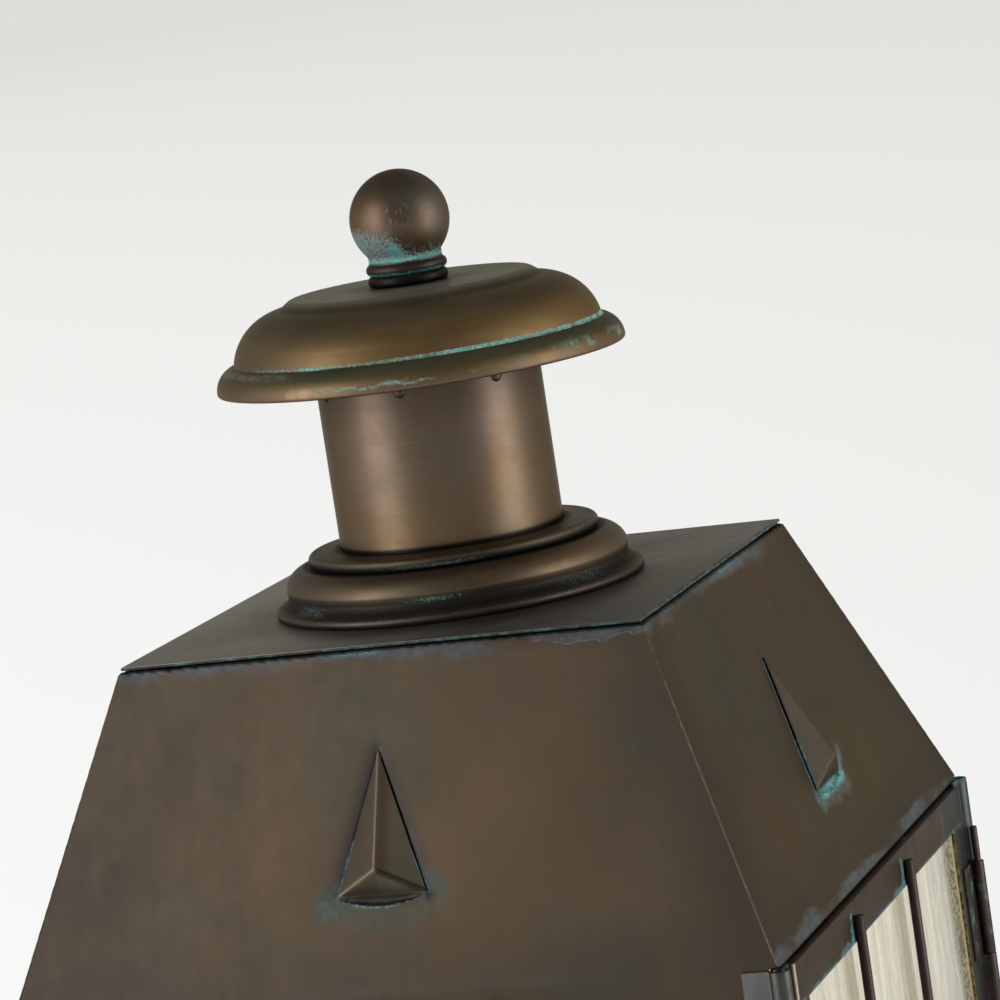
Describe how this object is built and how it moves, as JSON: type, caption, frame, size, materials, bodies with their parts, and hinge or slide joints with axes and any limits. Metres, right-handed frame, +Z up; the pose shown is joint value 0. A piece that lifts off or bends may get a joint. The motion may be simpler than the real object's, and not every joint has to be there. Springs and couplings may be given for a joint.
{
  "type": "post lantern",
  "caption": "Square copper post lantern with a vented pyramid roof, a round chimney under a spun cap, seedy glass panes and a hinged glazed door.",
  "frame": {"origin": "centre of the post socket's mouth, at the fitter's lower rim", "axes": "+Z up along the post and the chimney, -Y the front, +X the side with the door"},
  "size_m": [0.2968, 0.2876, 0.5947],
  "materials": {
    "aged_copper": "brown aged copper sheet, mottled, with turquoise patina in seams and round edges",
    "aged_bronze": "satin bronze, drawn and turned, with light scratches and turquoise patina in grooves",
    "turned_brass": "satin brass",
    "seedy_glass": "cream tinted seedy glass",
    "bulb_glass": "frosted bulb glass",
    "ivory_sleeve": "matt ivory candle sleeve",
    "holder_brown": "matt brown moulded lampholder"
  },
  "bodies": {
    "lantern": {"post_fitter": "aged_copper", "fitter_flange": "aged_copper", "base_pan": "aged_copper", "roof_front": "aged_copper", "roof_right": "aged_copper", "roof_back": "aged_copper", "roof_left": "aged_copper", "top_plate": "aged_copper", "chimney_collar": "aged_copper", "cap": "aged_copper", "finial_ring": "aged_copper", "corner_post_front_right": "aged_bronze", "corner_post_front_left": "aged_bronze", "corner_post_back_right": "aged_bronze", "corner_post_back_left": "aged_bronze", "chimney_tube": "aged_bronze", "cap_stay": "aged_bronze", "stay_rivets": "aged_bronze", "finial": "aged_bronze", "guard_rods_front": "aged_bronze", "guard_rods_back": "aged_bronze", "guard_rods_left": "aged_bronze", "hinge_leaf_post": "aged_bronze", "hinge_pin": "aged_bronze", "glass_clips": "aged_bronze", "fitter_rivets": "turned_brass", "set_screws": "turned_brass", "finial_nut": "turned_brass", "cluster_stem": "turned_brass", "stem_nut": "turned_brass", "cluster_arms": "turned_brass", "candle_cups": "turned_brass", "glass_front": "seedy_glass", "glass_back": "seedy_glass", "glass_left": "seedy_glass", "candle_sleeve_1": "ivory_sleeve", "lampholder_1": "holder_brown", "bulb_1": "bulb_glass", "candle_sleeve_2": "ivory_sleeve", "lampholder_2": "holder_brown", "bulb_2": "bulb_glass", "candle_sleeve_3": "ivory_sleeve", "lampholder_3": "holder_brown", "bulb_3": "bulb_glass"},
    "door": {"door_frame": "aged_copper", "door_glass": "seedy_glass", "door_clips": "aged_bronze", "door_rods": "aged_bronze", "hinge_leaf_door": "aged_bronze"},
    "latch": {"latch_knob": "aged_bronze", "latch_tongue": "aged_bronze"}
  },
  "joints": [
    {"name": "door_hinge", "type": "hinge", "parent": "lantern", "child": "door", "pos_m": [0.1449, 0.13608, 0.2], "axis": [0, 0, 1], "range_deg": [0, 110]},
    {"name": "latch_turn", "type": "hinge", "parent": "door", "child": "latch", "pos_m": [0.142, -0.1247, 0.19955], "axis": [-1, 0, 0], "range_deg": [0, 90]}
  ]
}
